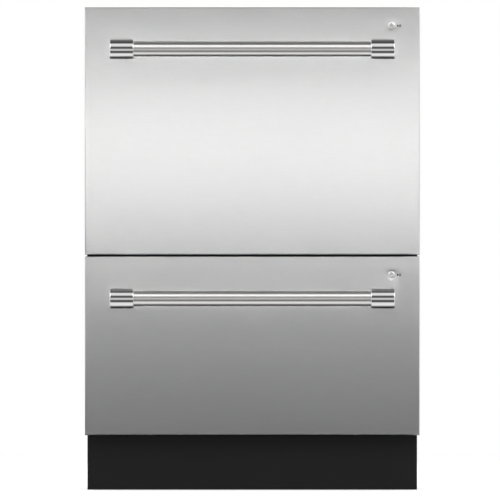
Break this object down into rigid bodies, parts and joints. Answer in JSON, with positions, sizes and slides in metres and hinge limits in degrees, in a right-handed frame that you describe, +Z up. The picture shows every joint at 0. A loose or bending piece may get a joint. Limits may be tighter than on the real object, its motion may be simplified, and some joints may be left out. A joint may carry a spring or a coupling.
{
  "type": "drawer dishwasher",
  "caption": "Drawer dishwasher with stacked pull-out wash tubs, steel fronts, round bar handles, racks, spray arms, lids and a black toe kick.",
  "frame": {"origin": "floor level, in the middle of the outline, handles included", "axes": "+Z up along the tallest side, +X to the right of someone who faces the drawers, -Y out of the steel fronts"},
  "size_m": [0.599, 0.636, 0.864],
  "materials": {
    "front_steel": "horizontally brushed stainless steel",
    "bar_steel": "satin stainless steel",
    "chrome": "polished chrome",
    "button": "satin metal",
    "black_kick": "satin black",
    "galvanised": "zinc-coated sheet",
    "runner_steel": "zinc-plated",
    "rubber": "matt black",
    "tub_plastic": "moulded, fine grain",
    "dark_plastic": "moulded",
    "black_plastic": "smooth",
    "white_plastic": "moulded",
    "grey_plastic": "moulded",
    "blue_plastic": "moulded",
    "coated_wire": "nylon-coated wire"
  },
  "bodies": {
    "root": {"left_side_panel": "galvanised", "right_side_panel": "galvanised", "rear_panel": "galvanised", "base_tray": "dark_plastic", "top_frame": "galvanised", "mid_frame": "galvanised", "chassis_gasket": "rubber", "toe_kick": "black_kick", "kick_brackets": "galvanised", "fixed_runners": "runner_steel", "lid_drives": "dark_plastic", "water_inlet_valve": "white_plastic", "drain_connector": "dark_plastic", "power_gland": "dark_plastic"},
    "front_left_foot_body": {"front_left_foot": "black_plastic"},
    "front_right_foot_body": {"front_right_foot": "black_plastic"},
    "rear_left_foot_body": {"rear_left_foot": "black_plastic"},
    "rear_right_foot_body": {"rear_right_foot": "black_plastic"},
    "lower_drawer": {"lower_tub": "tub_plastic", "lower_front_panel": "front_steel", "lower_front_carrier": "dark_plastic", "lower_handle_bar": "bar_steel", "lower_handle_brackets": "chrome", "lower_control_strip": "black_plastic", "lower_drawer_runners": "runner_steel", "lower_wash_pump": "dark_plastic", "lower_filter_plate": "grey_plastic", "lower_rack": "coated_wire", "lower_cutlery_basket": "grey_plastic", "lower_dispenser": "white_plastic"},
    "lower_middle_slide": {"lower_middle_runners": "runner_steel"},
    "lower_arm": {"lower_spray_arm": "blue_plastic"},
    "lower_impeller_body": {"lower_impeller": "white_plastic"},
    "lower_tines": {"lower_folding_tines": "coated_wire"},
    "lower_shelf": {"lower_cup_shelf": "blue_plastic"},
    "lower_flap": {"lower_dispenser_flap": "blue_plastic"},
    "lower_button": {"lower_start_button": "button"},
    "lower_lid_body": {"lower_lid": "white_plastic", "lower_lid_seal": "rubber"},
    "upper_drawer": {"upper_tub": "tub_plastic", "upper_front_panel": "front_steel", "upper_front_carrier": "dark_plastic", "upper_handle_bar": "bar_steel", "upper_handle_brackets": "chrome", "upper_control_strip": "black_plastic", "upper_drawer_runners": "runner_steel", "upper_wash_pump": "dark_plastic", "upper_filter_plate": "grey_plastic", "upper_rack": "coated_wire", "upper_cutlery_basket": "grey_plastic", "upper_dispenser": "white_plastic"},
    "upper_middle_slide": {"upper_middle_runners": "runner_steel"},
    "upper_arm": {"upper_spray_arm": "blue_plastic"},
    "upper_impeller_body": {"upper_impeller": "white_plastic"},
    "upper_tines": {"upper_folding_tines": "coated_wire"},
    "upper_shelf": {"upper_cup_shelf": "blue_plastic"},
    "upper_flap": {"upper_dispenser_flap": "blue_plastic"},
    "upper_button": {"upper_start_button": "button"},
    "upper_lid_body": {"upper_lid": "white_plastic", "upper_lid_seal": "rubber"}
  },
  "joints": [
    {"name": "front_left_foot_height", "type": "slide", "parent": "root", "child": "front_left_foot_body", "axis": [0, 0, -1], "range_m": [0, 0.059]},
    {"name": "front_right_foot_height", "type": "slide", "parent": "root", "child": "front_right_foot_body", "axis": [0, 0, -1], "range_m": [0, 0.059]},
    {"name": "rear_left_foot_height", "type": "slide", "parent": "root", "child": "rear_left_foot_body", "axis": [0, 0, -1], "range_m": [0, 0.059]},
    {"name": "rear_right_foot_height", "type": "slide", "parent": "root", "child": "rear_right_foot_body", "axis": [0, 0, -1], "range_m": [0, 0.059]},
    {"name": "lower_drawer_pull", "type": "slide", "parent": "root", "child": "lower_drawer", "axis": [0, -1, 0], "range_m": [0, 0.5]},
    {"name": "lower_runner_extend", "type": "slide", "parent": "root", "child": "lower_middle_slide", "axis": [0, -1, 0], "range_m": [0, 0.25]},
    {"name": "lower_lid_lift", "type": "slide", "parent": "root", "child": "lower_lid_body", "axis": [0, 0, 1], "range_m": [0, 0.012]},
    {"name": "lower_arm_spin", "type": "hinge", "parent": "lower_drawer", "child": "lower_arm", "pos_m": [0, 0.0173, 0.1795], "axis": [0, 0, 1], "continuous": true},
    {"name": "lower_impeller_spin", "type": "hinge", "parent": "lower_drawer", "child": "lower_impeller_body", "pos_m": [0, 0.0173, 0.1345], "axis": [0, 0, 1], "continuous": true},
    {"name": "lower_tines_fold", "type": "hinge", "parent": "lower_drawer", "child": "lower_tines", "pos_m": [-0.02259, 0.0363, 0.2237], "axis": [0, -1, 0], "range_deg": [0, 90]},
    {"name": "lower_shelf_fold", "type": "hinge", "parent": "lower_drawer", "child": "lower_shelf", "pos_m": [-0.234, 0.0363, 0.2755], "axis": [0, -1, 0], "range_deg": [0, 85]},
    {"name": "lower_flap_open", "type": "hinge", "parent": "lower_drawer", "child": "lower_flap", "pos_m": [-0.06, -0.2167, 0.2765], "axis": [-1, 0, 0], "range_deg": [0, 80]},
    {"name": "lower_start_press", "type": "slide", "parent": "lower_drawer", "child": "lower_button", "axis": [0, 1, 0], "range_m": [0, 0.0008], "stiffness_N_per_m": 2500, "springref_m": -0.0006},
    {"name": "upper_drawer_pull", "type": "slide", "parent": "root", "child": "upper_drawer", "axis": [0, -1, 0], "range_m": [0, 0.5]},
    {"name": "upper_runner_extend", "type": "slide", "parent": "root", "child": "upper_middle_slide", "axis": [0, -1, 0], "range_m": [0, 0.25]},
    {"name": "upper_lid_lift", "type": "slide", "parent": "root", "child": "upper_lid_body", "axis": [0, 0, 1], "range_m": [0, 0.012]},
    {"name": "upper_arm_spin", "type": "hinge", "parent": "upper_drawer", "child": "upper_arm", "pos_m": [0, 0.0173, 0.5025], "axis": [0, 0, 1], "continuous": true},
    {"name": "upper_impeller_spin", "type": "hinge", "parent": "upper_drawer", "child": "upper_impeller_body", "pos_m": [0, 0.0173, 0.4575], "axis": [0, 0, 1], "continuous": true},
    {"name": "upper_tines_fold", "type": "hinge", "parent": "upper_drawer", "child": "upper_tines", "pos_m": [-0.02259, 0.0363, 0.5467], "axis": [0, -1, 0], "range_deg": [0, 90]},
    {"name": "upper_shelf_fold", "type": "hinge", "parent": "upper_drawer", "child": "upper_shelf", "pos_m": [-0.234, 0.0363, 0.721], "axis": [0, -1, 0], "range_deg": [0, 85]},
    {"name": "upper_flap_open", "type": "hinge", "parent": "upper_drawer", "child": "upper_flap", "pos_m": [-0.06, -0.2167, 0.722], "axis": [-1, 0, 0], "range_deg": [0, 80]},
    {"name": "upper_start_press", "type": "slide", "parent": "upper_drawer", "child": "upper_button", "axis": [0, 1, 0], "range_m": [0, 0.0008], "stiffness_N_per_m": 2500, "springref_m": -0.0006}
  ],
  "couplings": [
    {"joint": "lower_runner_extend", "follows": "lower_drawer_pull", "ratio": 0.5},
    {"joint": "upper_runner_extend", "follows": "upper_drawer_pull", "ratio": 0.5}
  ]
}
